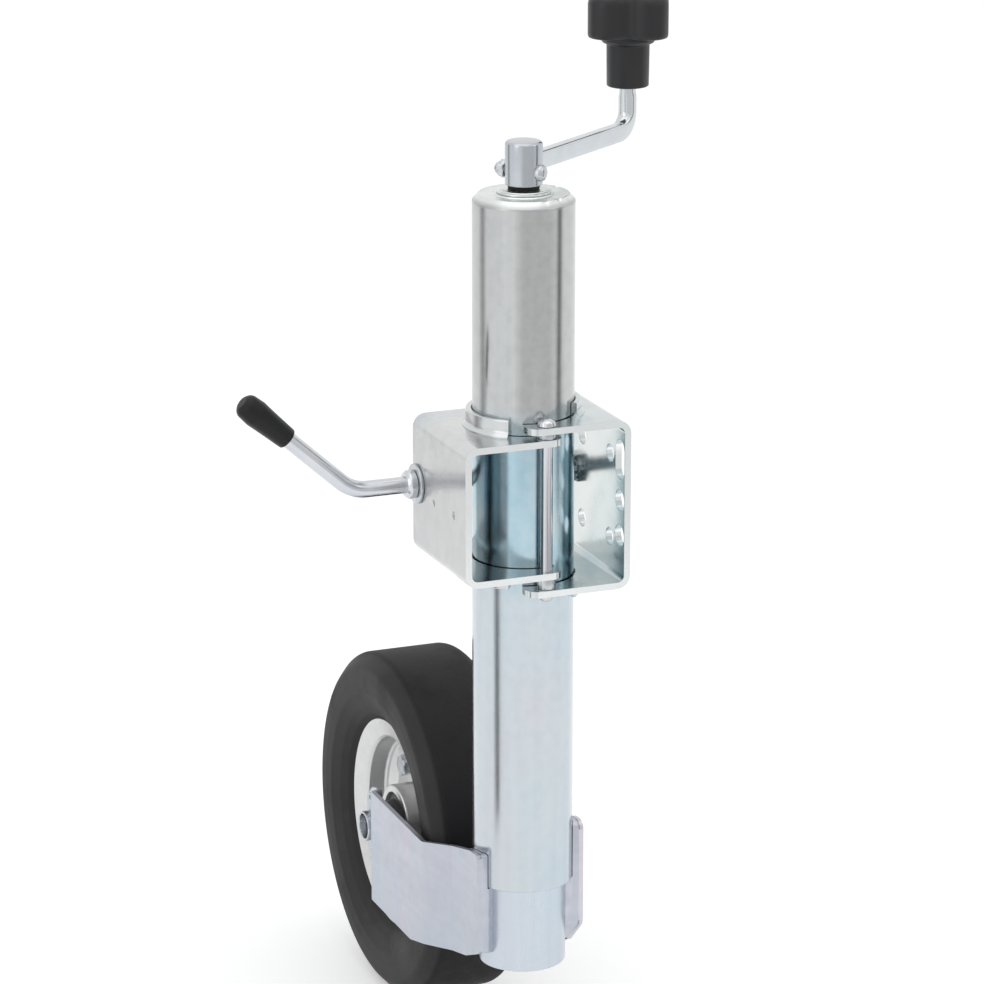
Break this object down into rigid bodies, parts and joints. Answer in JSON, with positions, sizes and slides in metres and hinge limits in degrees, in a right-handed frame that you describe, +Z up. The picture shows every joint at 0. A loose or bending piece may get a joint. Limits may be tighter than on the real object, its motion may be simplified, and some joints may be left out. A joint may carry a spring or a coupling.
{
  "type": "jockey wheel",
  "caption": "Trailer jockey wheel: telescopic steel leg in a hinged clamp bracket with cranked lever, screw-jack crank with lobed handle, swivelling fork and solid rubber wheel.",
  "frame": {"origin": "centre of the four drawbar bolt holes, on the fixed bracket's outer face, which lies against the drawbar", "axes": "+X out of the bracket's face into the drawbar, +Y to the rear where the wheel trails, +Z up along the mast"},
  "size_m": [0.2863, 0.3185, 0.6515],
  "materials": {
    "zinc_bright": "bright zinc plating, pale blue",
    "zinc_satin": "satin zinc plating",
    "zinc_iridescent": "zinc plating with a lavender tint",
    "machined_steel": "turned, lightly oiled",
    "screw_zinc": "plated fastener",
    "black_plastic": "moulded, slightly grained",
    "black_seal": "soft black rubber",
    "nylon": "natural nylon",
    "tyre_rubber": "smooth solid rubber, faint rings",
    "rim_steel": "bright plated pressing",
    "brass_nut": "machined"
  },
  "bodies": {
    "bracket": {"mounting_bracket": "zinc_bright", "hinge_pin": "zinc_satin", "pin_spacer_upper": "zinc_satin", "pin_spacer_lower": "zinc_satin", "screw_nut": "screw_zinc"},
    "clamp_half": {"clamp_bracket": "zinc_bright"},
    "screw_feed": {"clamp_washer": "screw_zinc"},
    "lever": {"clamp_lever": "zinc_bright", "lever_boss": "zinc_bright", "lever_grip": "black_plastic"},
    "mast": {"outer_tube": "zinc_iridescent", "top_cap": "zinc_satin", "top_flange": "zinc_satin", "guide_bush": "nylon", "guide_strips": "machined_steel"},
    "crank": {"crank_hub": "zinc_satin", "crank_arm": "zinc_satin", "crank_bolt": "screw_zinc", "crank_nut": "screw_zinc", "seal_ring": "black_seal", "spindle": "machined_steel", "thrust_collar": "machined_steel", "thrust_bearing": "machined_steel", "knob_clip": "machined_steel"},
    "handle": {"knob": "black_plastic"},
    "carriage": {"nut_carrier": "nylon", "spindle_nut": "brass_nut"},
    "leg": {"inner_tube": "zinc_iridescent", "retaining_ring": "machined_steel", "fork_left": "zinc_iridescent", "fork_right": "zinc_iridescent", "fork_spacers": "zinc_satin", "axle_tube": "zinc_satin", "split_pins": "screw_zinc", "axle_washers": "screw_zinc"},
    "wheel": {"rim_left": "rim_steel", "rim_right": "rim_steel", "rim_bolts": "screw_zinc", "wheel_hub": "rim_steel", "hub_bushes": "black_plastic", "tyre": "tyre_rubber"}
  },
  "joints": [
    {"name": "mast_slide", "type": "slide", "parent": "bracket", "child": "mast", "axis": [0, 0, 1], "range_m": [-0.1, 0.14]},
    {"name": "crank_turn", "type": "hinge", "parent": "mast", "child": "crank", "pos_m": [-0.0505, 0, 0.197], "axis": [0, 0, 1], "range_deg": [-18000, 0]},
    {"name": "handle_spin", "type": "hinge", "parent": "crank", "child": "handle", "pos_m": [0.04504, 0.07044, 0.25], "axis": [0, 0, 1], "continuous": true},
    {"name": "leg_slide", "type": "slide", "parent": "mast", "child": "carriage", "axis": [0, 0, 1], "range_m": [-0.2, 0]},
    {"name": "leg_swivel", "type": "hinge", "parent": "carriage", "child": "leg", "pos_m": [-0.0505, 0, 0.11], "axis": [0, 0, 1], "continuous": true},
    {"name": "wheel_spin", "type": "hinge", "parent": "leg", "child": "wheel", "pos_m": [-0.0505, 0.166, -0.261], "axis": [1, 0, 0], "continuous": true},
    {"name": "screw_travel", "type": "slide", "parent": "bracket", "child": "screw_feed", "axis": [1, 0, 0], "range_m": [-0.003, 0]},
    {"name": "lever_turn", "type": "hinge", "parent": "screw_feed", "child": "lever", "pos_m": [-0.1045, 0.0356, 0.0023], "axis": [1, 0, 0], "range_deg": [-720, 0]},
    {"name": "clamp_open", "type": "hinge", "parent": "bracket", "child": "clamp_half", "pos_m": [-0.0505, -0.036, 0], "axis": [0, 0, 1], "range_deg": [0, 2.1]}
  ],
  "couplings": [
    {"joint": "leg_slide", "follows": "crank_turn", "m_per_rad": 0.00063662},
    {"joint": "screw_travel", "follows": "lever_turn", "m_per_rad": 0.00023873},
    {"joint": "clamp_open", "follows": "lever_turn", "ratio": -0.0029167}
  ]
}
